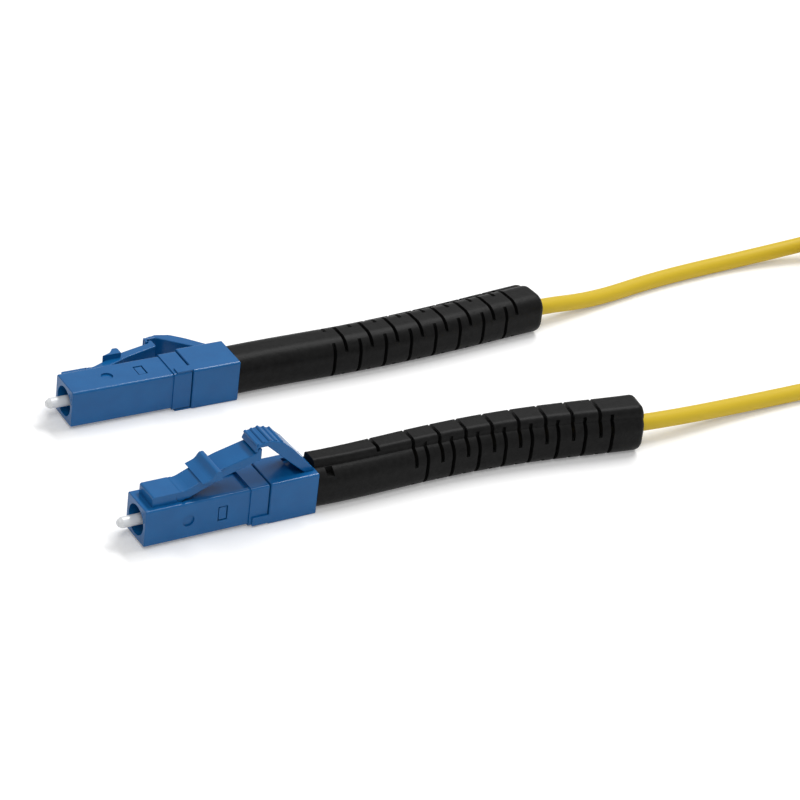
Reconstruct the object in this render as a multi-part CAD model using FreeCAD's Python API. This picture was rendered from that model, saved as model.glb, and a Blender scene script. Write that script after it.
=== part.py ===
"""Fibre optic patch cable: one simplex lead with the same latched connector on both ends.

Millimetres, +Z up. The lead lies on the plane z = 0. Each connector is built once in its own
frame (x from the plug's front face to the rear, y across, z to the latch side, origin on the
ferrule's axis) and placed twice: end A with its latch up, end B rolled onto its side.
"""
import math
import os

import FreeCAD
import Part

V = FreeCAD.Vector
AXIS_X = V(1, 0, 0)
AXIS_Y = V(0, 1, 0)
AXIS_Z = V(0, 0, 1)

# Plug housing
PLUG_SIDE = 4.5
PLUG_LENGTH = 12.5
PLUG_EDGE = 0.25
PLUG_CHAMFER = 0.08
CAVITY_RADIUS = 1.75
CAVITY_DEPTH = 3.0
WEB_THICKNESS = 0.8
CHAMBER_RADIUS = 1.65
RELIEF_DEPTH = 0.3
RELIEF_WIDTH = 3.4
MARK_RADIUS = 0.7
MARK_DEPTH = 0.2
MARK_X = 5.15
WINDOW_X = 8.7
WINDOW_LENGTH = 1.15
WINDOW_HEIGHT = 1.8
WINDOW_RECESS = 0.06
WINDOW_GAP = 0.14

# Back post: collar between plug and rear housing, tube in the chamber, crimp post behind
COLLAR_SIDE = 4.8
COLLAR_LENGTH = 2.35
COLLAR_SEAM = 0.15
POST_FIT = 0.04
POST_FRONT = 8.6
SPRING_SEAT = 1.8
POST_SPIGOT = 3.9
POST_RADIUS = 1.2
POST_LENGTH = 6.2
TAIL_BORE_LENGTH = 3.8
FIBRE_CLEARANCE = 0.25

# Rear housing
BLOCK_SIDE = 5.2
BLOCK_LENGTH = 5.91
BLOCK_EDGE = 0.25
TAB_LENGTH = 2.0
TAB_HEIGHT = 1.05
TAB_ROOT = 0.5
BLOCK_RIM = 0.08
POCKET_LENGTH = 1.3
POCKET_DEPTH = 0.4

# Ferrule, its flange and the spring behind it
FERRULE_RADIUS = 0.625
FERRULE_PROUD = 2.2
FERRULE_TIP_RADIUS = 0.42
FERRULE_TIP_LENGTH = 0.5
FERRULE_TIP_ROUND = 0.12
FERRULE_STEM_RADIUS = 0.42
FERRULE_STEM_GAP = 0.2
FERRULE_SEAT = 1.8
NOSE_RADIUS = 0.9
NOSE_LENGTH = 0.7
SHOULDER_RADIUS = 1.45
SHOULDER_LENGTH = 1.0
TAIL_RADIUS = 0.85
TAIL_LENGTH = 3.8
WEB_CLEARANCE = 0.15
SPRING_WIRE = 0.28
SPRING_TURNS = 6
SPRING_CLEARANCE = 0.09
BUFFER_RADIUS = 0.45
BUFFER_CLEARANCE = 0.06
FERRULE_TRAVEL = 1.0
FIBRE_SLACK = 0.3

# Latch: pad on the plug, knuckle at its rear, arm rising from it to an upturned nub
PAD_FRONT = 1.0
PAD_HALF_WIDTH = 1.6
PAD_EDGE = 0.25
KNUCKLE_X = 4.45
KNUCKLE_RADIUS = 0.6
LATCH_TOP = 3.45
HINGE_CLEARANCE = 0.05
ARM_HALF_WIDTH = 1.55
ARM_THICKNESS = 1.15
ARM_BEND_RADIUS = 8.0
ARM_FLAT = 0.5
ARM_FOOT_ROUND = 2.0
ARM_BEND_SETBACK = 0.5
ARM_BEND_DROP = 0.1
MOULD_EDGE = 0.12
ARM_END_GAP = 1.0
NUB_TOP = 6.8
NUB_HEIGHT = 0.48
NUB_LENGTH = 0.4
NUB_SLOPE = 0.2
NUB_ROUND = 0.2
ARM_TIP_ROUND = 0.3
LUG_HALF_WIDTH = 2.2
LUG_REAR = 8.85
LUG_LENGTH = 2.3
LUG_TOP = 5.45
LUG_HEIGHT = 1.15
LUG_CREST = 0.65
LUG_CREST_ROUND = 0.3
LUG_RAMP = 0.55
LUG_RAMP_DROP = 0.75
LUG_RAMP_ROUND = 1.0

# Trigger: strap hinged on the rear housing, its head hooks over the nub of the arm
TRIGGER_HALF_WIDTH = 1.65
ROOT_RADIUS = 0.5
ROOT_SETBACK = 0.8
ROOT_LIFT = 0.05
HOOK_GAP = 0.15
LIP_THICKNESS = 0.45
LIP_DROP = 0.5
HEAD_THICKNESS = 0.65
HEAD_LENGTH = 2.45
HEAD_ROUND = 0.9
CROWN_SETBACK = 0.9
BROW_SETBACK = 0.4
BROW_ROUND = 0.35
LIP_ROUND = 0.15
HOOK_ROUND = 0.12
HOOK_DEPTH = 0.6
HOOK_HEEL_ROUND = 0.3
NAPE_LIFT = 0.15
NAPE_ROUND = 1.0
STRAP_DEPTH = 1.75
STRAP_ROUND = 2.0
KNEE_SETBACK = 0.1
KNEE_ROUND = 1.2
BULGE_ALONG = 0.35
BULGE_DOWN = 0.3
RIB_RADIUS = 0.2
RIB_COUNT = 5
RIB_FIRST = 0.6
RIB_PITCH = 0.72
RIB_SINK = 0.05
RIB_INSET = 0.13

# Crimp sleeve and yarn
YARN_THICKNESS = 0.18
YARN_SETBACK = 0.2
CRIMP_WALL = 0.22
CRIMP_FRONT_GAP = 0.4
CRIMP_LENGTH = 6.2
CRIMP_TAPER = 0.6
CRIMP_GRIP = 1.4

# Boot
BOOT_LENGTH = 42.0
BOOT_HALF = 2.58
BOOT_CORNER_FRONT = 1.95
BOOT_CORNER_REAR = 1.85
RIDGE_HALF_FRONT = 1.15
RIDGE_HALF_REAR = 1.9
RIDGE_TOP_FRONT = 3.45
RIDGE_TOP_REAR = 3.4
RIDGE_EDGE_FRONT = 0.5
RIDGE_EDGE_REAR = 0.9
BOOT_FIT = 0.02
BOOT_SOCKET_GAP = 0.2
BOOT_BORE_GAP = 0.12
BOOT_MOUTH_GAP = 0.45
BOOT_MOUTH_LENGTH = 7.0
BOOT_RIM = 0.7
RIM_TURN = 75
RIM_STEPS = 3
BEND_AT = 23.8
SLOT_WIDTH = 0.45
SLOT_PITCH = 3.4
SLOT_COUNT = 8
TOP_SLOT_START = 12.5
SIDE_SLOT_START = 14.0
TOP_SLOT_FLOOR = 0.5
BOTTOM_SLOT_FLOOR = -1.7
SIDE_SLOT_FLOOR = -1.2
FAR_SLOT_FLOOR = 1.7
SIDE_SLOT_TOP = 2.95
SLOT_MARGIN = 0.1
RIDGE_SLOT_AT = 8.0
SHOULDER_WINDOW_AT = 1.2
SHOULDER_WINDOW_LENGTH = 0.9
SHOULDER_WINDOW_WIDTH = 1.0
SHOULDER_WINDOW_DEPTH = 0.9

# Cable and the put-away coil
CABLE_RADIUS = 1.0
COIL_RADIUS = 10.51
COIL_X = 87.2
COIL_Y = -0.2
COIL_TURNS = 11
COIL_COLUMNS = 3
COIL_LAYERS = 4
TIE_THICKNESS = 0.7
TIE_CLEARANCE = 0.04
TIE_WIDTH = 5.0
ARC_SHARE = 0.45

# How far a cutting shape runs past the face that it opens
CUT_OVER = 1.0

# Where each end lies, and how far its boot bends
END_A_X = -31.632
END_A_Y = -13.386
END_B_X = -28.721
END_B_Y = 11.123
YAW_B = -1.241
BEND_A = 9.0
BEND_B = 4.78

# Two free points of each cable's way to the coil
NEAR_A_X = 49.4
NEAR_A_Y = -14.9
FAR_A_X = 69.2
FAR_A_Y = -15.0
NEAR_B_X = 44.0
NEAR_B_Y = 12.6
MID_B_X = 55.0
MID_B_Y = 14.55
FAR_B_X = 71.0
FAR_B_Y = 15.3

# Derived stations along the connector
HALF_PLUG = PLUG_SIDE / 2
HALF_BLOCK = BLOCK_SIDE / 2
END_A = V(END_A_X, END_A_Y, HALF_BLOCK)
END_B = V(END_B_X, END_B_Y, HALF_BLOCK)
COIL_CENTRE = V(COIL_X, COIL_Y, 0)
WEB_REAR = CAVITY_DEPTH + WEB_THICKNESS
BLOCK_FRONT = PLUG_LENGTH + COLLAR_LENGTH
BLOCK_REAR = BLOCK_FRONT + BLOCK_LENGTH
NOSE_FRONT = WEB_REAR - NOSE_LENGTH
FERRULE_REAR = NOSE_FRONT + FERRULE_SEAT
SHOULDER_REAR = WEB_REAR + SHOULDER_LENGTH
SPRING_REAR = POST_FRONT + SPRING_SEAT
SPIGOT_REAR = BLOCK_FRONT + POST_SPIGOT
POST_REAR = SPIGOT_REAR + POST_LENGTH
SPRING_MEAN = TAIL_RADIUS + SPRING_CLEARANCE + SPRING_WIRE / 2
SPRING_BORE = SPRING_MEAN + SPRING_WIRE / 2 + SPRING_CLEARANCE
SPIGOT_RADIUS = CHAMBER_RADIUS - POST_FIT
CRIMP_BORE = POST_RADIUS + YARN_THICKNESS
CRIMP_RADIUS = CRIMP_BORE + CRIMP_WALL
CRIMP_FRONT = SPIGOT_REAR + CRIMP_FRONT_GAP
CRIMP_REAR = CRIMP_FRONT + CRIMP_LENGTH + CRIMP_TAPER + CRIMP_GRIP
CABLE_FRONT = CRIMP_FRONT + CRIMP_LENGTH + CRIMP_TAPER / 2
KNUCKLE_Z = LATCH_TOP - KNUCKLE_RADIUS
ROOT_X = BLOCK_REAR - ROOT_SETBACK
ROOT_Z = HALF_BLOCK + ROOT_LIFT
ARM_END = BLOCK_FRONT - ARM_END_GAP
HOOK_TOP = NUB_TOP + HOOK_GAP
COIL_HALF = COIL_COLUMNS * CABLE_RADIUS
OUTER_TURN = COIL_RADIUS + COIL_HALF - CABLE_RADIUS
COIL_LOW = TIE_THICKNESS + TIE_CLEARANCE
COIL_HIGH = COIL_LOW + 2 * COIL_LAYERS * CABLE_RADIUS
BOOT_SIZE = 2 * BOOT_HALF


def outline(corners, to_point):
    """Closed face from (u, v, radius) corners; each corner is rounded by an arc of its radius."""
    edges = []
    starts = []
    ends = []
    count = len(corners)
    for i, (u, v, radius) in enumerate(corners):
        here = to_point(u, v)
        before = to_point(*corners[i - 1][:2]) - here
        after = to_point(*corners[(i + 1) % count][:2]) - here
        before.normalize()
        after.normalize()
        half = before.getAngle(after) / 2
        reach = radius / math.tan(half)
        starts.append(here + before * reach)
        ends.append(here + after * reach)
        if radius > 0:
            inward = before + after
            inward.normalize()
            middle = here + inward * (radius / math.sin(half) - radius)
            edges.append(Part.Arc(starts[i], middle, ends[i]).toShape())
        if i > 0:
            edges.append(Part.makeLine(ends[i - 1], starts[i]))
    edges.append(Part.makeLine(ends[-1], starts[0]))
    return Part.Face(Part.Wire(Part.__sortEdges__(edges)))


def side_prism(corners, half_width):
    """Side outline in (x, z), extruded across y."""
    face = outline(corners, lambda x, z: V(x, -half_width, z))
    return face.extrude(V(0, 2 * half_width, 0))


def moulded_prism(corners, half_width, hinge, hinge_radius):
    """Side prism whose side edges are rounded, apart from those inside its hinge knuckle."""
    solid = side_prism(corners, half_width)
    edges = []
    for edge in solid.Edges:
        middle = edge.CenterOfMass
        from_hinge = math.hypot(middle.x - hinge[0], middle.z - hinge[1])
        if abs(abs(middle.y) - half_width) < 1e-6 and from_hinge > hinge_radius:
            edges.append(edge)
    return solid.makeFillet(MOULD_EDGE, edges)


def square_bar(side, edge, start, end):
    """Square bar along x with rounded long edges."""
    half = side / 2
    corners = [(-half, -half, edge), (half, -half, edge), (half, half, edge), (-half, half, edge)]
    return outline(corners, lambda y, z: V(start, y, z)).extrude(V(end - start, 0, 0))


def rod(radius, start, end):
    """Round bar along x on the ferrule's axis."""
    return Part.makeCylinder(radius, end - start, V(start, 0, 0), AXIS_X)


def cross_pin(radius, x, z, half_width):
    """Round bar across y."""
    return Part.makeCylinder(radius, 2 * half_width, V(x, -half_width, z), AXIS_Y)


def box(x, y, z):
    """Box from three (low, high) pairs."""
    return Part.makeBox(x[1] - x[0], y[1] - y[0], z[1] - z[0], V(x[0], y[0], z[0]))


def turned(stations):
    """Solid turned about the x axis from (x, radius) stations; a closed ring of them is a tube."""
    points = [V(x, 0, r) for x, r in stations]
    face = Part.Face(Part.makePolygon(points + points[:1]))
    return face.revolve(V(0, 0, 0), AXIS_X, 360)


def front_chamfer(solid, size):
    """Chamfer the edges of a solid's foremost face."""
    front = min(solid.Faces, key=lambda face: face.CenterOfMass.x)
    return solid.makeChamfer(size, front.OuterWire.Edges)


def plug_housing():
    body = front_chamfer(square_bar(PLUG_SIDE, PLUG_EDGE, 0, PLUG_LENGTH), PLUG_CHAMFER)
    relief_floor = HALF_PLUG - RELIEF_DEPTH
    pad = side_prism([(PAD_FRONT, relief_floor, 0), (PAD_FRONT, LATCH_TOP, PAD_EDGE),
                      (KNUCKLE_X, LATCH_TOP, 0), (KNUCKLE_X, relief_floor, 0)], PAD_HALF_WIDTH)
    body = body.fuse(pad)
    relief = box((KNUCKLE_X, PLUG_LENGTH), (-RELIEF_WIDTH / 2, RELIEF_WIDTH / 2), (relief_floor, PLUG_SIDE))
    seat = cross_pin(KNUCKLE_RADIUS + HINGE_CLEARANCE, KNUCKLE_X, KNUCKLE_Z, HALF_PLUG)
    body = body.cut(relief).cut(seat)
    body = body.cut(rod(CAVITY_RADIUS, 0, CAVITY_DEPTH))
    body = body.cut(rod(NOSE_RADIUS + WEB_CLEARANCE, CAVITY_DEPTH, WEB_REAR))
    body = body.cut(rod(CHAMBER_RADIUS, WEB_REAR, PLUG_LENGTH))
    window = box((WINDOW_X, WINDOW_X + WINDOW_LENGTH), (-PLUG_SIDE, PLUG_SIDE),
                 (-WINDOW_HEIGHT / 2, WINDOW_HEIGHT / 2))
    body = body.cut(window)
    for side in (-1, 1):
        start = V(MARK_X, side * (HALF_PLUG - MARK_DEPTH), 0)
        body = body.cut(Part.makeCylinder(MARK_RADIUS, CUT_OVER, start, AXIS_Y * side))
    return body.removeSplitter()


def latch_arm():
    knuckle = cross_pin(KNUCKLE_RADIUS, KNUCKLE_X, KNUCKLE_Z, ARM_HALF_WIDTH)
    nub_foot = NUB_TOP - NUB_HEIGHT
    bend_x = LUG_REAR + ARM_BEND_SETBACK
    bend_z = LUG_TOP - ARM_BEND_DROP
    nub_front = ARM_END - NUB_LENGTH
    tip_foot = nub_foot + NUB_SLOPE - ARM_THICKNESS
    profile = [(KNUCKLE_X, KNUCKLE_Z, 0), (KNUCKLE_X, LATCH_TOP, 0),
               (KNUCKLE_X + ARM_FLAT, LATCH_TOP, ARM_FOOT_ROUND),
               (bend_x, bend_z, ARM_BEND_RADIUS), (nub_front - NUB_SLOPE, nub_foot, ARM_TIP_ROUND),
               (nub_front, NUB_TOP, NUB_ROUND), (ARM_END, NUB_TOP, NUB_ROUND),
               (ARM_END, tip_foot, ARM_TIP_ROUND),
               (bend_x + ARM_TIP_ROUND, bend_z - ARM_THICKNESS, ARM_BEND_RADIUS),
               (KNUCKLE_X + KNUCKLE_RADIUS, KNUCKLE_Z - KNUCKLE_RADIUS, KNUCKLE_RADIUS)]
    arm = moulded_prism(profile, ARM_HALF_WIDTH, (KNUCKLE_X, KNUCKLE_Z), KNUCKLE_RADIUS)
    lug_foot = LUG_TOP - LUG_HEIGHT
    crest_front = LUG_REAR - LUG_CREST
    lug_profile = [(LUG_REAR - LUG_LENGTH, lug_foot, 0),
                   (crest_front - LUG_RAMP, LUG_TOP - LUG_RAMP_DROP, LUG_RAMP_ROUND),
                   (crest_front, LUG_TOP, LUG_CREST_ROUND), (LUG_REAR, LUG_TOP, LUG_CREST_ROUND),
                   (LUG_REAR, lug_foot, 0)]
    lugs = side_prism(lug_profile, LUG_HALF_WIDTH)
    return knuckle.fuse([arm, lugs]).removeSplitter()


def back_post():
    tube = rod(SPIGOT_RADIUS, POST_FRONT, SPIGOT_REAR)
    collar = square_bar(COLLAR_SIDE, PLUG_EDGE, PLUG_LENGTH, BLOCK_FRONT - COLLAR_SEAM)
    post = rod(POST_RADIUS, SPIGOT_REAR, POST_REAR)
    tab_reach = HALF_PLUG - WINDOW_RECESS
    tab = box((WINDOW_X + WINDOW_GAP, WINDOW_X + WINDOW_LENGTH - WINDOW_GAP), (-tab_reach, tab_reach),
              (-WINDOW_HEIGHT / 2 + WINDOW_GAP, WINDOW_HEIGHT / 2 - WINDOW_GAP))
    body = tube.fuse([collar, post, tab])
    body = body.cut(rod(SPRING_BORE, POST_FRONT, SPRING_REAR))
    tail_end = SPRING_REAR + TAIL_BORE_LENGTH
    body = body.cut(rod(TAIL_RADIUS + SPRING_CLEARANCE, SPRING_REAR, tail_end))
    body = body.cut(rod(BUFFER_RADIUS + FIBRE_CLEARANCE, tail_end, POST_REAR))
    return body.removeSplitter()


def rear_housing():
    body = square_bar(BLOCK_SIDE, BLOCK_EDGE, BLOCK_FRONT, BLOCK_REAR)
    front = min(body.Faces, key=lambda face: face.CenterOfMass.x)
    rear = max(body.Faces, key=lambda face: face.CenterOfMass.x)
    body = body.makeChamfer(BLOCK_RIM, rear.OuterWire.Edges + front.OuterWire.Edges)
    tabs = []
    for side in (-1, 1):
        low = min(side * COLLAR_SIDE / 2, side * HALF_BLOCK)
        high = max(side * COLLAR_SIDE / 2, side * HALF_BLOCK)
        tabs.append(box((BLOCK_FRONT - TAB_LENGTH, BLOCK_FRONT + TAB_ROOT), (low, high),
                        (-HALF_BLOCK + BLOCK_EDGE, -HALF_BLOCK + BLOCK_EDGE + TAB_HEIGHT)))
    body = body.fuse(tabs)
    body = body.cut(rod(CHAMBER_RADIUS, BLOCK_FRONT, BLOCK_REAR))
    root_gap = ROOT_RADIUS + HINGE_CLEARANCE
    root_half = TRIGGER_HALF_WIDTH + HINGE_CLEARANCE
    body = body.cut(cross_pin(root_gap, ROOT_X, ROOT_Z, root_half))
    pocket = box((ROOT_X - root_gap - POCKET_LENGTH, ROOT_X), (-root_half, root_half),
                 (HALF_BLOCK - POCKET_DEPTH, BLOCK_SIDE))
    return body.cut(pocket).removeSplitter()


def trigger():
    root = cross_pin(ROOT_RADIUS, ROOT_X, ROOT_Z, TRIGGER_HALF_WIDTH)
    lean = ROOT_RADIUS / math.sqrt(2)
    nub_front = ARM_END - NUB_LENGTH
    lip_inside = nub_front - HOOK_GAP
    lip_front = lip_inside - LIP_THICKNESS
    lip_end = HOOK_TOP - LIP_DROP
    crown_x = ARM_END + CROWN_SETBACK
    crown_z = HOOK_TOP + HEAD_THICKNESS
    brow_x = lip_front + BROW_SETBACK
    brow_z = HOOK_TOP + BROW_SETBACK
    nape_x = ARM_END + HEAD_LENGTH
    nape_z = HOOK_TOP + NAPE_LIFT
    bulge_x = nape_x + BULGE_ALONG * (ROOT_X + lean - nape_x)
    bulge_z = nape_z + BULGE_DOWN * (ROOT_Z + lean - nape_z)
    profile = [(ROOT_X + lean, ROOT_Z + lean, 0), (bulge_x, bulge_z, STRAP_ROUND),
               (nape_x, nape_z, NAPE_ROUND), (crown_x, crown_z, HEAD_ROUND),
               (brow_x, brow_z, BROW_ROUND),
               (lip_front, lip_end, LIP_ROUND), (lip_inside, lip_end, LIP_ROUND),
               (lip_inside, HOOK_TOP, HOOK_ROUND),
               (ARM_END + HOOK_DEPTH, HOOK_TOP, HOOK_HEEL_ROUND),
               (nape_x - KNEE_SETBACK, nape_z - STRAP_DEPTH, KNEE_ROUND), (ROOT_X - lean, ROOT_Z - lean, 0)]
    strap = moulded_prism(profile, TRIGGER_HALF_WIDTH, (ROOT_X, ROOT_Z), ROOT_RADIUS)
    ribs = []
    for i in range(RIB_COUNT):
        x = ARM_END - RIB_FIRST + RIB_PITCH * i
        if x < crown_x:
            z = brow_z + (crown_z - brow_z) * (x - brow_x) / (crown_x - brow_x)
        else:
            z = crown_z + (nape_z - crown_z) * (x - crown_x) / (nape_x - crown_x)
        ribs.append(cross_pin(RIB_RADIUS, x, z - RIB_SINK, TRIGGER_HALF_WIDTH - RIB_INSET))
    return root.fuse([strap] + ribs).removeSplitter()


def ferrule():
    pin_end = NOSE_FRONT - FERRULE_STEM_GAP
    tip = -FERRULE_PROUD
    return turned([(tip, 0), (tip, FERRULE_TIP_RADIUS - FERRULE_TIP_ROUND),
                   (tip + FERRULE_TIP_ROUND, FERRULE_TIP_RADIUS), (tip + FERRULE_TIP_LENGTH, FERRULE_RADIUS),
                   (pin_end, FERRULE_RADIUS), (pin_end, FERRULE_STEM_RADIUS),
                   (FERRULE_REAR, FERRULE_STEM_RADIUS), (FERRULE_REAR, 0)])


def ferrule_flange():
    tail = SHOULDER_REAR + TAIL_LENGTH
    bore = BUFFER_RADIUS + BUFFER_CLEARANCE
    return turned([(NOSE_FRONT, FERRULE_STEM_RADIUS), (NOSE_FRONT, NOSE_RADIUS), (WEB_REAR, NOSE_RADIUS),
                   (WEB_REAR, SHOULDER_RADIUS), (SHOULDER_REAR, SHOULDER_RADIUS),
                   (SHOULDER_REAR, TAIL_RADIUS), (tail, TAIL_RADIUS), (tail, bore),
                   (FERRULE_REAR, bore), (FERRULE_REAR, FERRULE_STEM_RADIUS)])


def ferrule_spring():
    start = SHOULDER_REAR + SPRING_WIRE / 2
    length = SPRING_REAR - SHOULDER_REAR - SPRING_WIRE
    helix = Part.makeHelix(length / SPRING_TURNS, length, SPRING_MEAN)
    circle = Part.Wire(Part.makeCircle(SPRING_WIRE / 2, V(SPRING_MEAN, 0, 0), AXIS_Y))
    coil = Part.Wire(helix).makePipeShell([circle], True, True)
    coil.Placement = FreeCAD.Placement(V(start, 0, 0), FreeCAD.Rotation(AXIS_Y, 90))
    return coil


def buffered_fibre():
    return rod(BUFFER_RADIUS, FERRULE_REAR, CABLE_FRONT - FERRULE_TRAVEL - FIBRE_SLACK)


def aramid_yarn():
    start = CRIMP_FRONT + YARN_SETBACK
    return rod(CRIMP_BORE, start, POST_REAR).cut(rod(POST_RADIUS, start, POST_REAR))


def crimp_sleeve():
    taper_start = CRIMP_FRONT + CRIMP_LENGTH
    taper_end = taper_start + CRIMP_TAPER
    neck = CABLE_RADIUS + CRIMP_WALL
    return turned([(CRIMP_FRONT, CRIMP_BORE), (CRIMP_FRONT, CRIMP_RADIUS), (taper_start, CRIMP_RADIUS),
                   (taper_end, neck), (CRIMP_REAR, neck), (CRIMP_REAR, CABLE_RADIUS),
                   (taper_end, CABLE_RADIUS), (taper_start, CRIMP_BORE)])


class BootPath:
    """Centre line of a boot and of the cable in it: straight, one arc, straight."""

    def __init__(self, bend, towards):
        self.bend = math.radians(bend)
        self.towards = towards
        self.run = BLOCK_REAR + BEND_AT - CABLE_FRONT
        self.reach = ARC_SHARE * self.run
        self.radius = self.reach / math.tan(self.bend / 2)
        self.arc_start = BEND_AT - self.reach
        self.arc_end = self.arc_start + self.radius * self.bend

    def frame(self, s):
        """Placement at a distance from the boot's front face: x along the path."""
        turn = min(max(s - self.arc_start, 0) / self.radius, self.bend)
        along = BLOCK_REAR + min(s, self.arc_start) + self.radius * math.sin(turn)
        aside = self.radius * (1 - math.cos(turn))
        rest = max(s - self.arc_end, 0)
        along += rest * math.cos(turn)
        aside += rest * math.sin(turn)
        spin = FreeCAD.Rotation(AXIS_X.cross(self.towards), math.degrees(turn))
        return FreeCAD.Placement(AXIS_X * along + self.towards * aside, spin)

    def corner(self):
        """Point where the straight stretches would meet."""
        return V(BLOCK_REAR + BEND_AT, 0, 0)

    def leaving(self):
        """Route point just past the boot, as far from the corner as the cable's start."""
        heading = AXIS_X * math.cos(self.bend) + self.towards * math.sin(self.bend)
        return self.corner() + heading * self.run

    def stations(self, start, end):
        """Distances for a loft: both ends, the arc's ends and three points on the arc."""
        step = (self.arc_end - self.arc_start) / 4
        marks = [self.arc_start + step * i for i in range(5)]
        return [start] + [m for m in marks if start < m < end] + [end]


def along_boot(front, rear, s):
    """Value that changes evenly from the boot's front to its rear."""
    return front + (rear - front) * s / BOOT_LENGTH


def boot_section(path, s, inset):
    half = BOOT_HALF - inset
    edge = along_boot(BOOT_CORNER_FRONT, BOOT_CORNER_REAR, s) - inset
    corners = [(-half, -half, edge), (half, -half, edge), (half, half, edge), (-half, half, edge)]
    wire = outline(corners, lambda y, z: V(0, y, z)).OuterWire
    wire.Placement = path.frame(s)
    return wire


def ridge_section(path, s, inset):
    top = along_boot(RIDGE_TOP_FRONT, RIDGE_TOP_REAR, s) - inset
    half = along_boot(RIDGE_HALF_FRONT, RIDGE_HALF_REAR, s) - inset / 2
    edge = along_boot(RIDGE_EDGE_FRONT, RIDGE_EDGE_REAR, s)
    low = BOOT_HALF / 2
    corners = [(-half, low, 0), (half, low, 0), (half, top, edge), (-half, top, edge)]
    wire = outline(corners, lambda y, z: V(0, y, z)).OuterWire
    wire.Placement = path.frame(s)
    return wire


def lofted(path, section):
    """Loft a section down the boot, with a rounded rear rim."""
    rim = BOOT_LENGTH - BOOT_RIM
    body = Part.makeLoft([section(path, s, 0) for s in path.stations(0, rim)], True, False)
    turns = [math.radians(RIM_TURN * i / RIM_STEPS) for i in range(RIM_STEPS + 1)]
    rings = [section(path, rim + BOOT_RIM * math.sin(t), BOOT_RIM * (1 - math.cos(t))) for t in turns]
    return body.fuse(Part.makeLoft(rings, True, True))


def boot(path):
    body = lofted(path, boot_section).fuse(lofted(path, ridge_section))
    crimp_end = CRIMP_REAR - BLOCK_REAR + BOOT_SOCKET_GAP
    wire = centre_wire(path)
    circle = Part.Wire(Part.makeCircle(CABLE_RADIUS + BOOT_BORE_GAP, V(BLOCK_REAR, 0, 0), AXIS_X))
    bore = wire.makePipeShell([circle], True, False)
    mouth = Part.makeCylinder(CABLE_RADIUS + BOOT_MOUTH_GAP, BOOT_MOUTH_LENGTH + CUT_OVER, V(0, 0, 0), AXIS_X)
    mouth.Placement = path.frame(BOOT_LENGTH - BOOT_MOUTH_LENGTH)
    socket = rod(CRIMP_RADIUS + BOOT_FIT, BLOCK_REAR - CUT_OVER, BLOCK_REAR + crimp_end)
    cutters = [bore, mouth, socket]
    wide = (-BOOT_SIZE, BOOT_SIZE)
    tall = (-BOOT_SIZE, SIDE_SLOT_TOP)
    for i in range(SLOT_COUNT):
        top_at = path.frame(TOP_SLOT_START + SLOT_PITCH * i)
        side_at = path.frame(SIDE_SLOT_START + SLOT_PITCH * i)
        thick = (-SLOT_WIDTH / 2, SLOT_WIDTH / 2)
        for span in ((TOP_SLOT_FLOOR, BOOT_SIZE), (-BOOT_SIZE, BOTTOM_SLOT_FLOOR)):
            slot = box(thick, wide, span)
            slot.Placement = top_at
            cutters.append(slot)
        for span in ((-BOOT_SIZE, SIDE_SLOT_FLOOR), (FAR_SLOT_FLOOR, BOOT_SIZE)):
            slot = box(thick, span, tall)
            slot.Placement = side_at
            cutters.append(slot)
    slot_half = along_boot(RIDGE_HALF_FRONT, RIDGE_HALF_REAR, RIDGE_SLOT_AT) + SLOT_MARGIN
    ridge_slot = box((RIDGE_SLOT_AT - SLOT_WIDTH / 2, RIDGE_SLOT_AT + SLOT_WIDTH / 2),
                     (-slot_half, slot_half), (BOOT_HALF, BOOT_SIZE))
    ridge_slot.translate(V(BLOCK_REAR, 0, 0))
    cutters.append(ridge_slot)
    for side in (-1, 1):
        inner = side * slot_half
        outer = inner + side * SHOULDER_WINDOW_WIDTH
        start = BLOCK_REAR + SHOULDER_WINDOW_AT
        cutters.append(box((start, start + SHOULDER_WINDOW_LENGTH), (min(inner, outer), max(inner, outer)),
                           (BOOT_HALF - SHOULDER_WINDOW_DEPTH, BOOT_SIZE)))
    return body.cut(cutters).removeSplitter()


def centre_wire(path):
    """Boot centre line as a line, an arc and a line."""
    points = [path.frame(s).Base for s in (0, path.arc_start, (path.arc_start + path.arc_end) / 2,
                                           path.arc_end, BOOT_LENGTH + CUT_OVER)]
    return Part.Wire([Part.makeLine(points[0], points[1]), Part.Arc(*points[1:4]).toShape(),
                      Part.makeLine(points[3], points[4])])


def cable_run(name, points):
    """Round tube along straight runs joined by tangent arcs; prints the radii and the length."""
    edges = []
    radii = []
    last = points[0]
    for before, here, after in zip(points, points[1:], points[2:]):
        back = before - here
        on = after - here
        reach = ARC_SHARE * min(back.Length, on.Length)
        back.normalize()
        on.normalize()
        half = back.getAngle(on) / 2
        radius = reach * math.tan(half)
        inward = back + on
        inward.normalize()
        start = here + back * reach
        end = here + on * reach
        middle = here + inward * (radius / math.sin(half) - radius)
        edges += [Part.makeLine(last, start), Part.Arc(start, middle, end).toShape()]
        radii.append(round(radius, 1))
        last = end
    edges.append(Part.makeLine(last, points[-1]))
    wire = Part.Wire(edges)
    runs = [round((q - p).Length, 1) for p, q in zip(points, points[1:])]
    circle = Part.Wire(Part.makeCircle(CABLE_RADIUS, points[0], points[1] - points[0]))
    tube = wire.makePipeShell([circle], True, False)
    expected = math.pi * CABLE_RADIUS ** 2 * wire.Length
    print(name, "length", round(wire.Length, 1), "runs", runs, "bend radii", radii,
          "volume ratio", round(tube.Volume / expected, 4))
    return tube, wire.Length


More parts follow.
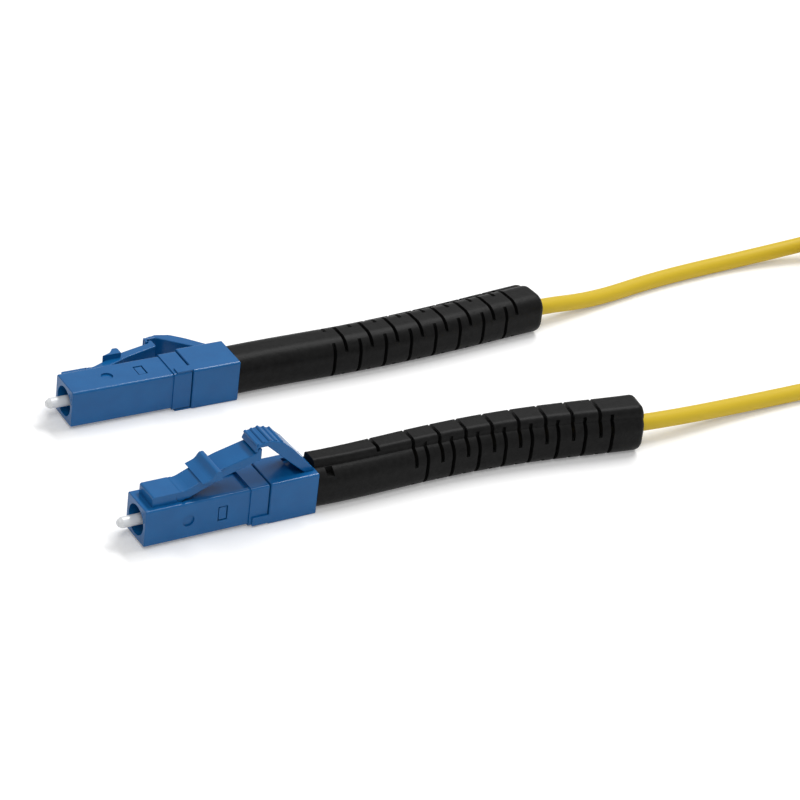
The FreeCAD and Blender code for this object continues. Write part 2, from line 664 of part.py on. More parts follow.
def coil_entry(last, side, height):
    """Heading and foot of the line from a route point that touches the outermost turn.

    side is -1 for the near side of the coil and 1 for the far side.
    """
    gap = COIL_CENTRE - V(last.x, last.y, 0)
    turn = math.atan2(gap.y, gap.x) + side * math.asin(OUTER_TURN / gap.Length)
    across = V(-math.sin(turn), math.cos(turn), 0)
    return turn, COIL_CENTRE + across * side * OUTER_TURN + V(0, 0, COIL_LOW + height)


def ring_section(margin):
    """Section of the coil, grown by a margin, in the plane through its axis."""
    inner = COIL_RADIUS - COIL_HALF - margin
    outer = COIL_RADIUS + COIL_HALF + margin
    low = COIL_LOW - margin
    high = COIL_HIGH + margin
    edge = CABLE_RADIUS + margin
    corners = [(inner, low, edge), (outer, low, edge), (outer, high, edge), (inner, high, edge)]
    return outline(corners, lambda r, z: COIL_CENTRE + V(r, 0, z))


def coil_tie():
    """Band round the coil's section, swept along the coil over the band's width."""
    spread = math.degrees(TIE_WIDTH / COIL_RADIUS)
    band = ring_section(TIE_CLEARANCE + TIE_THICKNESS).cut(ring_section(TIE_CLEARANCE)).Faces[0]
    band.rotate(COIL_CENTRE, AXIS_Z, -spread / 2)
    return band.revolve(COIL_CENTRE, AXIS_Z, spread)


def connector_pieces():
    """The pieces that both ends share, in the connector's own frame."""
    return {"plug_housing": plug_housing(), "latch_arm": latch_arm(), "back_post": back_post(),
            "rear_housing": rear_housing(), "trigger": trigger(), "ferrule": ferrule(),
            "ferrule_flange": ferrule_flange(), "ferrule_spring": ferrule_spring(),
            "buffered_fibre": buffered_fibre(), "aramid_yarn": aramid_yarn(),
            "crimp_sleeve": crimp_sleeve()}


def main():
    os.makedirs("parts", exist_ok=True)
    roll = FreeCAD.Rotation(AXIS_X, -90)
    place_a = FreeCAD.Placement(END_A, FreeCAD.Rotation())
    place_b = FreeCAD.Placement(END_B, FreeCAD.Rotation(AXIS_Z, YAW_B).multiply(roll))
    path_a = BootPath(BEND_A, V(0, -1, 0))
    path_b = BootPath(BEND_B, V(0, 0, 1))
    shared = connector_pieces()
    nodes = {}
    for suffix, place, path in (("a", place_a, path_a), ("b", place_b, path_b)):
        pieces = dict(shared, boot=boot(path))
        for name, shape in pieces.items():
            placed = shape.copy()
            placed.Placement = place.multiply(placed.Placement)
            nodes[name + "_" + suffix] = placed

    cable_start = V(CABLE_FRONT, 0, 0)
    route_a = [place_a.multVec(p) for p in (cable_start, path_a.corner(), path_a.leaving())]
    route_a += [V(NEAR_A_X, NEAR_A_Y, CABLE_RADIUS), V(FAR_A_X, FAR_A_Y, CABLE_RADIUS)]
    route_b = [place_b.multVec(p) for p in (cable_start, path_b.corner(), path_b.leaving())]
    route_b += [V(NEAR_B_X, NEAR_B_Y, CABLE_RADIUS), V(MID_B_X, MID_B_Y, CABLE_RADIUS),
                V(FAR_B_X, FAR_B_Y, CABLE_RADIUS)]
    turn_a, end_a = coil_entry(route_a[-1], -1, CABLE_RADIUS)
    turn_b, end_b = coil_entry(route_b[-1], 1, 3 * CABLE_RADIUS)
    nodes["cable_run_a"], length_a = cable_run("cable_run_a", route_a + [end_a])
    nodes["cable_run_b"], length_b = cable_run("cable_run_b", route_b + [end_b])
    nodes["cable_coil"] = ring_section(0).revolve(COIL_CENTRE, AXIS_Z, 360)
    nodes["coil_tie"] = coil_tie()

    turns = COIL_TURNS + 0.5 + (turn_b - turn_a) / (2 * math.pi)
    coiled = 2 * math.pi * turns * COIL_RADIUS
    cord = length_a + length_b + coiled
    print("coil turns", round(turns, 3), "coiled length", round(coiled, 1), "cord", round(cord, 1),
          "lead tip to tip", round(cord + 2 * (FERRULE_PROUD + CABLE_FRONT), 1))
    for name, shape in nodes.items():
        shape.exportStep("parts/" + name + ".step")


main()
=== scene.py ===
"""Fibre patch lead: two latched blue connectors, slotted black boots and a thin yellow cable.

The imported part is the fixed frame. This file gives its pieces their finishes, lays the cable, the
band round its coil and the springs of the ferrules, and sets the camera of the photograph and a
plain studio. Lengths are in millimetres and become metres where a mesh, a curve, a lamp or the
camera is made. Angles are in degrees.
"""

import logging
import math
from dataclasses import dataclass, field
from enum import Enum
from typing import Any, Mapping, Sequence

import bpy
import numpy as np
from mathutils import Matrix


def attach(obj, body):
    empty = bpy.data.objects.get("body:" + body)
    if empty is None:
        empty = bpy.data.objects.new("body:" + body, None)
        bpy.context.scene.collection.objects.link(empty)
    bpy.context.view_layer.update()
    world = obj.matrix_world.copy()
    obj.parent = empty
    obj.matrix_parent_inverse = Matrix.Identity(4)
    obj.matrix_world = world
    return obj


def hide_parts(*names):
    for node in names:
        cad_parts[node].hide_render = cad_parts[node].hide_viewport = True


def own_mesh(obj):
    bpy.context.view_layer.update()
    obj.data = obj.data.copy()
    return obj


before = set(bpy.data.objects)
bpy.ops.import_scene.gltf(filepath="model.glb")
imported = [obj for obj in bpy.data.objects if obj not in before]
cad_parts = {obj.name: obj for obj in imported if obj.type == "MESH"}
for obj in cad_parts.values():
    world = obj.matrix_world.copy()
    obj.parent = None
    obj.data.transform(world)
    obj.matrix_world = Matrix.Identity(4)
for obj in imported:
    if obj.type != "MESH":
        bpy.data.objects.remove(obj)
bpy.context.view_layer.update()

LOG = logging.getLogger("patch_lead")
Point = tuple[float, float, float]

MM = 0.001
WHITE = "#FFFFFF"
COIL_CENTRE = (87.2, -0.2)

# The sRGB curve: a straight toe, and above it a power law.
SRGB_TOE = 0.04045
SRGB_SLOPE = 12.92
SRGB_OFFSET = 0.055
SRGB_POWER = 2.4

# How many finer layers the noise of a relief and of a mottle has, and the values of the noise
# between which a mottle's two colours mix.
RELIEF_DETAIL = 2.0
MOTTLE_DETAIL = 3.0
MOTTLE_RANGE = (0.35, 0.65)


def linear(colour: str) -> tuple[float, float, float, float]:
    """Turn an sRGB hex colour into linear red, green, blue and alpha.

    Args:
        colour: Six hex digits after a hash.

    Returns:
        Linear channels from 0 to 1 and an alpha of 1.
    """
    channels = np.frombuffer(bytes.fromhex(colour.lstrip("#")), np.uint8) / 255
    low = channels / SRGB_SLOPE
    high = ((channels + SRGB_OFFSET) / (1 + SRGB_OFFSET)) ** SRGB_POWER
    red, green, blue = np.where(channels <= SRGB_TOE, low, high).tolist()
    return red, green, blue, 1.0


def smooth_step(share: np.ndarray) -> np.ndarray:
    """Ease from 0 to 1 without a kink: 3t squared less 2t cubed, with t held from 0 to 1."""
    held = np.clip(share, 0, 1)
    return held * held * (3 - 2 * held)


def add_node(
    tree: bpy.types.NodeTree,
    kind: str,
    settings: Mapping[str, Any] | None = None,
    values: Mapping[str, Any] | None = None,
    links: Mapping[str | int, bpy.types.NodeSocket] | None = None,
) -> bpy.types.Node:
    """Add one node with its settings, its socket values and its links.

    Args:
        tree: The node tree that gets the node.
        kind: Blender's identifier of the node.
        settings: Attributes of the node.
        values: Constant values by the name of the input.
        links: Output sockets to link, by the name or the number of the input.

    Returns:
        The new node.
    """
    node = tree.nodes.new(kind)
    for name, value in (settings or {}).items():
        setattr(node, name, value)
    for name, value in (values or {}).items():
        node.inputs[name].default_value = value
    for name, socket in (links or {}).items():
        tree.links.new(socket, node.inputs[name])
    return node


def add_object(name: str, data: bpy.types.ID) -> bpy.types.Object:
    """Make an object and link it to the scene.

    Args:
        name: Name of the object.
        data: Its mesh, curve, lamp or camera.

    Returns:
        The new object.
    """
    made = bpy.data.objects.new(name, data)
    bpy.context.scene.collection.objects.link(made)
    return made


def stand(item: bpy.types.Object, axes: Sequence[np.ndarray], place: np.ndarray) -> None:
    """Put a camera or a lamp in its place; both look against their own z.

    Args:
        item: The camera or the lamp.
        axes: Unit vectors of its own x, y and z.
        place: Where it stands.
    """
    matrix = np.eye(4)
    matrix[:3, :3] = np.column_stack(axes)
    matrix[:3, 3] = place * MM
    item.matrix_world = Matrix(matrix.tolist())


class Grain(Enum):
    """Which coordinates a finish's pattern follows: the object's, or those along the surface."""

    OBJECT = "Object"
    ALONG = "UV"


@dataclass(frozen=True)
class Finish:
    """One material: what it is made of and how its surface was made.

    The relief and the mottle are noises whose grain is a real size in millimetres. A stretch
    below 1 draws the grain out along that axis.
    """

    name: str
    slot: str
    colour: str
    roughness: float
    ior: float = 1.5
    specular: float = 0.5
    metallic: float = 0.0
    sheen: float = 0.0
    grain_mm: float = 0.2
    relief_mm: float = 0.0
    mottle_mm: float = 0.0
    mottle_colour: str = ""
    stretch: Point = (1.0, 1.0, 1.0)
    grain: Grain = Grain.OBJECT

    def material(self) -> bpy.types.Material:
        """Make the material, or give the one made before.

        Returns:
            The Blender material with the finish's name.
        """
        made = bpy.data.materials.get(self.name)
        if made is not None:
            return made
        made = bpy.data.materials.new(self.name)
        made.use_nodes = True
        tree = made.node_tree
        tree.nodes.clear()
        values = {"Base Color": linear(self.colour), "Roughness": self.roughness,
                  "Specular IOR Level": self.specular, "Metallic": self.metallic,
                  "Sheen Weight": self.sheen}
        if self.metallic == 0:
            values["IOR"] = self.ior
        shader = add_node(tree, "ShaderNodeBsdfPrincipled", values=values)
        add_node(tree, "ShaderNodeOutputMaterial", links={"Surface": shader.outputs["BSDF"]})
        self.add_pattern(tree, shader)
        return made

    def add_pattern(self, tree: bpy.types.NodeTree, shader: bpy.types.Node) -> None:
        """Add the fine relief and the soft mottle of the colour.

        The relief's noise is the height of a bump. The mottle's noise mixes the mottle's colour
        into the finish's own.

        Args:
            tree: The material's node tree.
            shader: Its principled shader.
        """
        place = add_node(tree, "ShaderNodeTexCoord")
        mapping = add_node(tree, "ShaderNodeMapping", values={"Scale": self.stretch},
                           links={"Vector": place.outputs[self.grain.value]})
        vector = {"Vector": mapping.outputs["Vector"]}
        if self.relief_mm:
            scale = 1 / (self.grain_mm * MM)
            noise = add_node(tree, "ShaderNodeTexNoise", links=vector,
                             values={"Scale": scale, "Detail": RELIEF_DETAIL})
            bump = add_node(tree, "ShaderNodeBump", links={"Height": noise.outputs["Fac"]},
                            values={"Strength": 1.0, "Distance": self.relief_mm * MM})
            tree.links.new(bump.outputs["Normal"], shader.inputs["Normal"])
        if self.mottle_mm:
            scale = 1 / (self.mottle_mm * MM)
            cloud = add_node(tree, "ShaderNodeTexNoise", links=vector,
                             values={"Scale": scale, "Detail": MOTTLE_DETAIL})
            ramp = add_node(tree, "ShaderNodeValToRGB", links={"Fac": cloud.outputs["Fac"]})
            stops = zip(ramp.color_ramp.elements, MOTTLE_RANGE, (self.mottle_colour, self.colour))
            for stop, position, colour in stops:
                stop.position = position
                stop.color = linear(colour)
            tree.links.new(ramp.outputs["Color"], shader.inputs["Base Color"])


# Injection moulded polyester: an even satin skin, brighter where an edge turns to the light.
BLUE_PBT = Finish(
    "injection moulded blue polyester", "blue_plastic", "#115E99", roughness=0.22, ior=1.57,
    specular=0.22, grain_mm=0.12, relief_mm=0.0012, mottle_mm=2.5, mottle_colour="#0F5993")
# Moulded thermoplastic elastomer: nearly black and low in gloss, with a broad soft highlight that
# the grain of the mould breaks up.
BLACK_ELASTOMER = Finish(
    "moulded black elastomer", "black_elastomer", "#191919", roughness=0.42, specular=0.075,
    grain_mm=0.3, relief_mm=0.02, mottle_mm=0.6, mottle_colour="#131313")
# Extruded halogen free jacket: smooth along the draw, a little waxy.
YELLOW_JACKET = Finish(
    "extruded yellow jacket", "yellow_jacket", "#D1B431", roughness=0.45, specular=0.16,
    grain_mm=0.3, relief_mm=0.004)
# Ground and polished zirconia: clean white ceramic, with hair lines round it from the grinding.
ZIRCONIA = Finish(
    "polished zirconia", "zirconia", "#E2E4E6", roughness=0.28, ior=2.1, specular=0.3,
    grain_mm=0.05, relief_mm=0.0004, mottle_mm=0.9, mottle_colour="#DFE1E3",
    stretch=(1.0, 0.1, 0.1))
# Nickel plate on turned brass: warm grey metal, with the rings that the turning tool left.
NICKEL_PLATE = Finish(
    "nickel plated turned brass", "nickel_plated_brass", "#C9C3B6", roughness=0.25, metallic=1.0,
    grain_mm=0.06, relief_mm=0.001, stretch=(1.0, 0.05, 0.05))
# Drawn spring wire: bright grey metal, with fine lines along the wire from the die.
SPRING_WIRE = Finish(
    "drawn spring steel wire", "spring_steel", "#B4B4B8", roughness=0.3, metallic=1.0,
    grain_mm=0.03, relief_mm=0.0006, stretch=(0.05, 1.0, 1.0), grain=Grain.ALONG)
# Tight buffered fibre: off white plastic, a little uneven along the draw.
FIBRE_BUFFER = Finish(
    "extruded white fibre buffer", "fibre_buffer", "#EDECE6", roughness=0.4,
    grain_mm=0.1, relief_mm=0.002, mottle_mm=1.2, mottle_colour="#E9E7DF")
# Aramid yarn: pale gold filaments laid along the cable.
ARAMID = Finish(
    "bundled aramid yarn", "aramid", "#D9C77C", roughness=0.6, sheen=0.3,
    grain_mm=0.15, relief_mm=0.03, stretch=(0.1, 1.0, 1.0))
# Hook and loop band: black knitted pile with no gloss. The real loops are about 0.1 mm apart;
# they are drawn at 0.25 mm so that they show.
WEBBING = Finish(
    "knitted black hook and loop band", "black_webbing", "#19191B", roughness=0.85, specular=0.2,
    sheen=0.2, grain_mm=0.25, relief_mm=0.08, grain=Grain.ALONG)


def paint(piece: bpy.types.Object, finish: Finish) -> None:
    """Give a piece one finish and nothing else, and report it.

    Args:
        piece: The piece to paint.
        finish: Its finish.
    """
    piece.data.materials.clear()
    piece.data.materials.append(finish.material())
    LOG.info("%s: %s", piece.name, finish.name)


@dataclass
class PhotoCamera:
    """The camera that was fitted to both connectors in the photograph.

    It looks at the target on the table from the distance, and near is where its view begins.
    """

    azimuth: float = -33.714
    elevation: float = 30.976
    roll: float = 7.12
    distance: float = 364.68
    target: Point = (10.033, 1.623, 0.0)
    lens: float = 140.68
    sensor: float = 36.0
    near: float = 10.0

    def basis(self) -> tuple[np.ndarray, np.ndarray, np.ndarray]:
        """Work out the viewing directions.

        The camera looks along forward; right lies level before the roll turns right and up
        about forward.

        Returns:
            Unit vectors right, up and forward.
        """
        turn, rise, roll = np.radians([self.azimuth, self.elevation, self.roll])
        forward = np.array([-math.sin(turn) * math.cos(rise), math.cos(turn) * math.cos(rise),
                            -math.sin(rise)])
        level = np.cross(forward, (0.0, 0.0, 1.0))
        level /= np.linalg.norm(level)
        above = np.cross(level, forward)
        right = math.cos(roll) * level + math.sin(roll) * above
        up = -math.sin(roll) * level + math.cos(roll) * above
        return right, up, forward

    def build(self) -> None:
        """Make the camera and hand it to the scene."""
        right, up, forward = self.basis()
        data = bpy.data.cameras.new("camera")
        data.lens = self.lens
        data.sensor_width = self.sensor
        data.clip_start = self.near * MM
        camera = add_object("camera", data)
        stand(camera, (right, up, -forward), np.array(self.target) - forward * self.distance)
        bpy.context.scene.camera = camera


@dataclass(frozen=True)
class Softbox:
    """One area lamp that faces the origin; its second side runs from the front to the back."""

    name: str
    place: Point
    sides: tuple[float, float]
    power: float

    def build(self) -> None:
        """Make the lamp and turn it to the origin."""
        data = bpy.data.lights.new(self.name, "AREA")
        data.shape = "RECTANGLE"
        data.size, data.size_y = (side * MM for side in self.sides)
        data.energy = self.power
        place = np.array(self.place)
        back = place / np.linalg.norm(place)
        across = np.cross((0.0, 1.0, 0.0), back)
        across /= np.linalg.norm(across)
        stand(add_object(self.name, data), (across, np.cross(back, across), back), place)


@dataclass
class Studio:
    """White paper floor, pale surroundings and soft lamps at a plain level.

    The overhead softbox lights everything, the front one fills the sides that face the camera, and
    the edge one, narrow and long, draws the bright lines along the housings' edges.
    """

    floor_side: float = 6000.0
    floor_colour: str = "#F0F0F0"
    floor_lift: float = 0.2
    sky: float = 0.32
    wall: float = 0.75
    lamps: Sequence[Softbox] = (
        Softbox("overhead softbox", (-150.0, 200.0, 850.0), (700.0, 700.0), 0.6),
        Softbox("front softbox", (-200.0, -400.0, 600.0), (300.0, 300.0), 1.4),
        Softbox("edge softbox", (325.0, 130.0, 620.0), (120.0, 450.0), 3.4),
    )

    def build(self) -> None:
        """Make the floor, the world and the lamps."""
        self.build_floor()
        self.build_world()
        for lamp in self.lamps:
            lamp.build()

    @staticmethod
    def seen_directly(tree: bpy.types.NodeTree) -> bpy.types.NodeSocket:
        """Add nodes that give 1 for rays that show the background: camera, glossy, transmission.

        Args:
            tree: The node tree of the floor or the world.

        Returns:
            The socket that carries that number.
        """
        rays = add_node(tree, "ShaderNodeLightPath").outputs
        larger = {"operation": "MAXIMUM"}
        either = add_node(tree, "ShaderNodeMath", larger,
                          links={0: rays["Is Camera Ray"], 1: rays["Is Glossy Ray"]})
        every = add_node(tree, "ShaderNodeMath", larger,
                         links={0: either.outputs[0], 1: rays["Is Transmission Ray"]})
        return every.outputs[0]

    def paper(self) -> bpy.types.Material:
        """Make matt white paper that is lifted to white where it is seen and keeps the shadow.

        Returns:
            The floor's material.
        """
        made = bpy.data.materials.new("matt white paper")
        made.use_nodes = True
        tree = made.node_tree
        tree.nodes.clear()
        matt = add_node(tree, "ShaderNodeBsdfDiffuse", values={"Color": linear(self.floor_colour)})
        glow = add_node(tree, "ShaderNodeEmission",
                        values={"Color": linear(WHITE), "Strength": self.floor_lift})
        lifted = add_node(tree, "ShaderNodeAddShader",
                          links={0: matt.outputs[0], 1: glow.outputs[0]})
        mixed = add_node(tree, "ShaderNodeMixShader",
                         links={0: self.seen_directly(tree), 1: matt.outputs[0],
                                2: lifted.outputs[0]})
        add_node(tree, "ShaderNodeOutputMaterial", links={"Surface": mixed.outputs[0]})
        return made

    def build_floor(self) -> None:
        """Make the floor: one square of paper round the origin."""
        half = self.floor_side * MM / 2
        corners = [(-half, -half, 0.0), (half, -half, 0.0), (half, half, 0.0), (-half, half, 0.0)]
        mesh = bpy.data.meshes.new("floor")
        mesh.from_pydata(corners, [], [(0, 1, 2, 3)])
        mesh.materials.append(self.paper())
        floor = add_object("floor", mesh)

    def build_world(self) -> None:
        """Make the surroundings: a pale wall where they are seen, an even soft light elsewhere."""
        world = bpy.data.worlds.new("studio")
        bpy.context.scene.world = world
        world.use_nodes = True
        tree = world.node_tree
        tree.nodes.clear()
        light, wall = (
            add_node(tree, "ShaderNodeBackground",
                     values={"Color": linear(WHITE), "Strength": strength})
            for strength in (self.sky, self.wall))
        mixed = add_node(tree, "ShaderNodeMixShader",
                         links={0: self.seen_directly(tree), 1: light.outputs[0],
                                2: wall.outputs[0]})
        add_node(tree, "ShaderNodeOutputWorld", links={"Surface": mixed.outputs[0]})


@dataclass
class Cable:
    """The jacketed cable: out of boot A, along the table, round the coil and into boot B.

    The runs are control points of the route. The coil's section is a grid of cells, each as wide
    as the cable: columns count outwards and rows upwards from 1. Each turn lies in one cell, in
    the order of the list. The winding begins at the start angle and goes on for the sweep, and
    its steps from cell to cell are one pitch apart.
    """

    diameter: float = 2.0
    length: float = 944.6
    exit: Point = (30.88, -16.23, 2.6)
    run_a: Sequence[Point] = (
        (1.128, -13.386, 2.6), (12.928, -13.386, 2.6), (31.605, -16.344, 2.6), (49.4, -14.9, 1.0),
        (69.2, -15.0, 1.0))
    run_b: Sequence[Point] = (
        (71.0, 15.3, 1.0), (55.0, 14.55, 1.0), (44.0, 12.6, 1.0), (34.703, 11.325, 2.6),
        (15.829, 10.158, 2.6), (4.031, 10.414, 2.6))
    middle_column: int = 2
    middle_radius: float = 10.51
    lowest_height: float = 1.74
    start_angle: float = -83.04
    sweep: float = 4123.0
    points_per_turn: int = 16
    step_centre: float = 343.0
    step_pitch: float = 343.7
    step_width: float = 34.0
    cells: Sequence[tuple[int, int]] = (
        (3, 1), (2, 1), (1, 1), (1, 2), (1, 3), (1, 4),
        (2, 4), (3, 4), (3, 3), (2, 3), (2, 2), (3, 2))
    curve_order: int = 3
    steps_along: int = 6
    steps_round: int = 6

    def cell_path(self, angle: np.ndarray) -> tuple[np.ndarray, np.ndarray]:
        """Work out in which cell of the coil's section the cable lies.

        Each turn keeps one cell; a smooth step leads to the next one, and the steps are
        staggered round the coil.

        Args:
            angle: Degrees wound since the coil's start.

        Returns:
            Radius and height of the cable's centre at each angle.
        """
        column, row = np.array(self.cells, float).T
        radius = self.middle_radius + (column - self.middle_column) * self.diameter
        height = self.lowest_height + (row - 1) * self.diameter
        centres = self.step_centre + self.step_pitch * np.arange(len(self.cells) - 1)
        share = smooth_step((angle[:, None] - centres + self.step_width / 2) / self.step_width)
        return radius[0] + share @ np.diff(radius), height[0] + share @ np.diff(height)

    def coil_points(self) -> np.ndarray:
        """Lay the control points of the coil's turns.

        A smooth curve of degree two touches the middle of each control edge, so the points lie
        outside the turn by the cosine of half their spacing.

        Returns:
            Control points, one row each.
        """
        count = round(self.sweep / 360 * self.points_per_turn)
        wound = (np.arange(count) + 0.5) * self.sweep / count
        radius, height = self.cell_path(wound)
        radius = radius / math.cos(math.radians(self.sweep / count / 2))
        turn = np.radians(self.start_angle + wound)
        across = np.stack([np.cos(turn), np.sin(turn)], -1) * radius[:, None]
        return np.column_stack([across + COIL_CENTRE, height])

    def lead_in(self, angle: float, way: int) -> np.ndarray:
        """Place the control point on the straight tangent just before or after the coil.

        It lies as far along the tangent as half a control edge of the coil is long.

        Args:
            angle: Degrees wound where the straight touches the coil.
            way: -1 for the start of the coil and 1 for its end.

        Returns:
            One point, as a row.
        """
        radius, height = self.cell_path(np.array([angle]))
        turn = math.radians(self.start_angle + angle)
        reach = way * math.tan(math.pi / self.points_per_turn) * radius[0]
        x = COIL_CENTRE[0] + radius[0] * math.cos(turn) - reach * math.sin(turn)
        y = COIL_CENTRE[1] + radius[0] * math.sin(turn) + reach * math.cos(turn)
        return np.array([[x, y, height[0]]])

    def build(self) -> bpy.types.Object:
        """Carry a round section along a smooth curve near the route's control points.

        Returns:
            The cable object.
        """
        route = np.concatenate([self.run_a, self.lead_in(0.0, -1), self.coil_points(),
                                self.lead_in(self.sweep, 1), self.run_b])
        data = bpy.data.curves.new("cable", "CURVE")
        data.dimensions = "3D"
        data.bevel_depth = self.diameter / 2 * MM
        data.bevel_resolution = self.steps_round
        data.resolution_u = self.steps_along
        data.use_fill_caps = True
        spline = data.splines.new("NURBS")
        spline.points.add(len(route) - 1)
        weighted = np.column_stack([route * MM, np.ones(len(route))])
        spline.points.foreach_set("co", weighted.ravel())
        spline.order_u = self.curve_order
        spline.use_endpoint_u = True
        return add_object("cable", data)

    def dress(self, cable: bpy.types.Object, tie: bpy.types.Object) -> None:
        """Args:
            cable: The cable object.
            tie: The band that holds the coil; not used.
        """
        paint(cable, YELLOW_JACKET)
        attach(cable, "lead")
        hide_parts("cable_run_a", "cable_run_b", "cable_coil")


def grid_mesh(name: str, points: np.ndarray, uv: np.ndarray) -> bpy.types.Object:
    """Make a closed tube from a grid of points: rings that follow each other, with capped ends.

    Args:
        name: Name of the object.
        points: Rings along the first axis, points round a ring along the second.
        uv: Surface coordinates of each point, along and across.

    Returns:
        The new object, linked to the scene.
    """
    rings, around = points.shape[:2]
    index = np.arange(rings * around).reshape(rings, around)
    after = np.roll(index, -1, axis=1)
    quads = np.stack([index[:-1], after[:-1], after[1:], index[1:]], -1).reshape(-1, 4)
    caps = [index[0, ::-1].tolist(), index[-1].tolist()]
    mesh = bpy.data.meshes.new(name)
    mesh.from_pydata((points.reshape(-1, 3) * MM).tolist(), [], quads.tolist() + caps)
    corners = np.empty(len(mesh.loops), np.int32)
    mesh.loops.foreach_get("vertex_index", corners)
    layer = mesh.uv_layers.new(name="UVMap")
    layer.data.foreach_set("uv", (uv * MM).reshape(-1, 2)[corners].astype(np.float32).ravel())
    mesh.polygons.foreach_set("use_smooth", np.ones(len(mesh.polygons), bool))
    mesh.update()
    return add_object(name, mesh)


@dataclass
class CoilTie:
    """Hook and loop band, wrapped once round the coil's section and lapped over its own start.

    The coil's section is a rectangle from inner to outer and from low to high. The last stretch
    rises over the start and then lies on it for the length of the lap.
    """

    inner: float = 7.51
    outer: float = 13.51
    low: float = 0.74
    high: float = 8.74
    corner: float = 1.0
    clearance: float = 0.04
    thickness: float = 0.7
    width: float = 5.0
    lap: float = 6.0
    rise: float = 2.5
    edge: float = 0.2
    rings: int = 180
    around: int = 16
    arc_points: int = 12

    def loop(self) -> np.ndarray:
        """Trace the band's middle line round the coil's section: a rectangle with round corners.

        Returns:
            Radius and height of the points, from the outer side's middle upwards and round.
        """
        reach = self.clearance + self.thickness / 2
        turn = np.radians(np.linspace(0, 90, self.arc_points))
        arc = np.stack([np.cos(turn), np.sin(turn)], -1) * (self.corner + reach)
        quarter = np.array([[0.0, 1.0], [-1.0, 0.0]])
        right, left = self.outer - self.corner, self.inner + self.corner
        top, bottom = self.high - self.corner, self.low + self.corner
        corners = [(right, top), (left, top), (left, bottom), (right, bottom)]
        arcs = [arc @ np.linalg.matrix_power(quarter, turns) + corner
                for turns, corner in enumerate(corners)]
        start = [[self.outer + reach, (self.low + self.high) / 2]]
        return np.concatenate([start, *arcs, start])

    def section(self) -> tuple[np.ndarray, np.ndarray]:
        """Work out the band's flat section: a small circle, pulled apart to width and thickness.

        Returns:
            Distance across the band and out of its middle line, for each point round it.
        """
        turn = np.radians((np.arange(self.around) + 0.5) * 360 / self.around)
        half, flat = self.width / 2 - self.edge, self.thickness / 2 - self.edge
        across = np.cos(turn) * self.edge + np.sign(np.cos(turn)) * half
        depth = np.sin(turn) * self.edge + np.sign(np.sin(turn)) * flat
        return across, depth

    def build(self) -> bpy.types.Object:
        """Carry the section along the loop and lift the last stretch over the start.

        The lift is a smooth step of one thickness. The width lies on a circle round the coil's
        axis: its angle is the distance across over the section's mean radius.

        Returns:
            The tie object.
        """
        loop = self.loop()
        stretches = np.linalg.norm(np.diff(loop, axis=0), axis=1)
        gone = np.concatenate([[0.0], np.cumsum(stretches)])
        whole = gone[-1]
        along = np.linspace(0.0, whole + self.lap, self.rings)
        at = np.mod(along, whole)
        path = np.stack([np.interp(at, gone, loop[:, 0]), np.interp(at, gone, loop[:, 1])], -1)
        heading = np.gradient(path, axis=0)
        heading /= np.linalg.norm(heading, axis=1, keepdims=True)
        outward = np.stack([heading[:, 1], -heading[:, 0]], -1)
        lift = smooth_step((along - whole + self.rise) / self.rise) * self.thickness
        path = path + outward * lift[:, None]
        across, depth = self.section()
        ring = path[:, None, :] + outward[:, None, :] * depth[None, :, None]
        swing = across / ((self.inner + self.outer) / 2)
        points = np.stack([COIL_CENTRE[0] + ring[..., 0] * np.cos(swing),
                           COIL_CENTRE[1] + ring[..., 0] * np.sin(swing), ring[..., 1]], -1)
        uv = np.stack(np.broadcast_arrays(along[:, None], across[None, :]), -1)
        return grid_mesh("tie", points, uv)

    def dress(self, tie: bpy.types.Object) -> None:
        """Give the band its pile, hang it on the lead and hide the part's own band.

        Args:
            tie: The tie object.
        """
        paint(tie, WEBBING)
        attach(tie, "lead")
        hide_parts("coil_tie")


@dataclass(frozen=True)
class Seat:
    """How one connector lies: middle of the plug's front face, turn about the vertical, roll."""

    letter: str
    front: Point
    turn: float = 0.0
    roll: float = 0.0

    def axes(self) -> np.ndarray:
        """Work out the connector's own directions.

        Returns:
            Rows that point to the rear, to the side and to the latch.
        """
        turn, roll = np.radians([self.turn, self.roll])
        rear = (math.cos(turn), math.sin(turn), 0.0)
        level = np.array((-math.sin(turn), math.cos(turn), 0.0))
        above = np.array((0.0, 0.0, 1.0))
        side = math.cos(roll) * level + math.sin(roll) * above
        latch = -math.sin(roll) * level + math.cos(roll) * above
        return np.array([rear, side, latch])

    def place(self, points: np.ndarray) -> np.ndarray:
        """Carry points from the connector's own frame to the object's."""
        return points @ self.axes() + np.array(self.front)


class End(Enum):
    """The two ends of the lead: A stands latch up, and B lies on its side."""

    A = Seat("a", (-31.632, -13.386, 2.6))
    B = Seat("b", (-28.721, 11.123, 2.6), turn=-1.241, roll=-90.0)


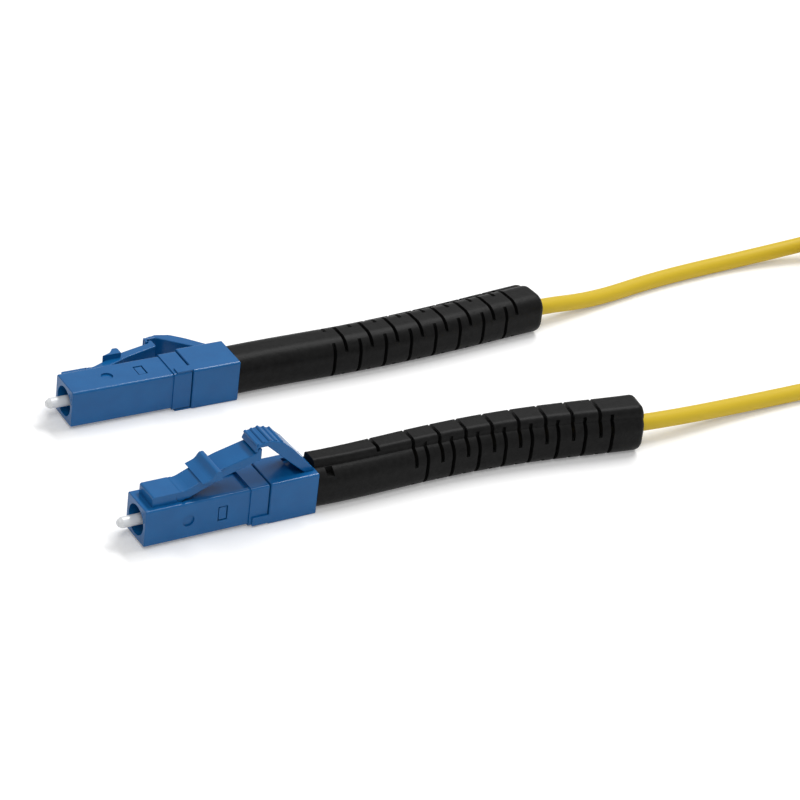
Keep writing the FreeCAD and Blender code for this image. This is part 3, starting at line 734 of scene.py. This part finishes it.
@dataclass
class FerruleSpring:
    """Compression spring between the ferrule's flange and the back post.

    It is laid as one helix of fixed length; the real spring shortens towards the post as the
    ferrule slides back.
    """

    seat: Seat
    front: float = 4.8
    rear: float = 10.4
    radius: float = 1.08
    wire: float = 0.28
    turns: int = 6
    start_angle: float = -90.0
    travel: float = 1.0
    rings_per_turn: int = 24
    around: int = 10

    def helix(self) -> tuple[np.ndarray, np.ndarray]:
        """Carry the wire's round section along the helix, in the connector's own frame.

        Each ring is a circle in the plane of two directions: outward from the axis, and aside,
        the cross product of the helix's heading and outward.

        Returns:
            Rings of points, and their lengths along and round the wire.
        """
        turn = np.linspace(0, 2 * math.pi * self.turns, self.turns * self.rings_per_turn + 1)
        angle = turn + math.radians(self.start_angle)
        advance = (self.rear - self.front - self.wire) / turn[-1]
        zero = np.zeros_like(angle)
        outward = np.stack([zero, np.cos(angle), np.sin(angle)], -1)
        circling = np.stack([zero, -np.sin(angle), np.cos(angle)], -1)
        heading = self.radius * circling + (advance, 0.0, 0.0)
        pace = np.linalg.norm(heading[0])
        aside = np.cross(heading / pace, outward)
        middle = outward * self.radius
        middle[:, 0] += self.front + self.wire / 2 + advance * turn
        spin = np.arange(self.around) * 2 * math.pi / self.around
        ring = (np.cos(spin)[None, :, None] * outward[:, None]
                + np.sin(spin)[None, :, None] * aside[:, None])
        uv = np.broadcast_arrays((turn * pace)[:, None], (spin * self.wire / 2)[None, :])
        return middle[:, None] + ring * self.wire / 2, np.stack(uv, -1)

    def build(self) -> bpy.types.Object:
        """Make the spring at its end of the lead.

        Returns:
            The spring object.
        """
        points, uv = self.helix()
        return grid_mesh(f"spring_{self.seat.letter}", self.seat.place(points), uv)

    def dress(self, spring: bpy.types.Object) -> None:
        """Give the spring its wire, hang it on the lead and hide the part's own spring.

        Args:
            spring: The spring object.
        """
        paint(spring, SPRING_WIRE)
        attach(spring, "lead")
        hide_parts(f"ferrule_spring_{self.seat.letter}")
        post = self.seat.place(np.array([self.rear, 0.0, 0.0])) * MM
        self.seat.axes()[0].tolist()
        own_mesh(spring)


@dataclass
class Connector:
    """One end of the lead: plug, latch, trigger, rear housing, ferrule, spring and boot."""

    end: End
    finishes: Mapping[str, Finish] = field(default_factory=lambda: {
        "plug_housing": BLUE_PBT, "latch_arm": BLUE_PBT, "back_post": BLUE_PBT,
        "rear_housing": BLUE_PBT, "trigger": BLUE_PBT, "ferrule": ZIRCONIA,
        "ferrule_flange": NICKEL_PLATE, "buffered_fibre": FIBRE_BUFFER, "aramid_yarn": ARAMID,
        "crimp_sleeve": NICKEL_PLATE, "boot": BLACK_ELASTOMER})

    def build(self) -> None:
        """Make the end's spring and dress it."""
        spring = FerruleSpring(self.end.value)
        spring.dress(spring.build())

    def dress(self) -> None:
        """Give each of the end's other pieces its finish."""
        for name, finish in self.finishes.items():
            paint(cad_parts[f"{name}_{self.end.value.letter}"], finish)


def main() -> None:
    """Build and dress the scene in order; each piece is reported as it is painted."""
    logging.basicConfig(level=logging.INFO, format="%(name)s: %(message)s")
    bpy.context.scene.view_settings.view_transform = "Standard"
    PhotoCamera().build()
    band = CoilTie()
    tie = band.build()
    band.dress(tie)
    cable = Cable()
    cable.dress(cable.build(), tie)
    for end in End:
        connector = Connector(end)
        connector.build()
        connector.dress()
    Studio().build()


if __name__ == "__main__":
    main()
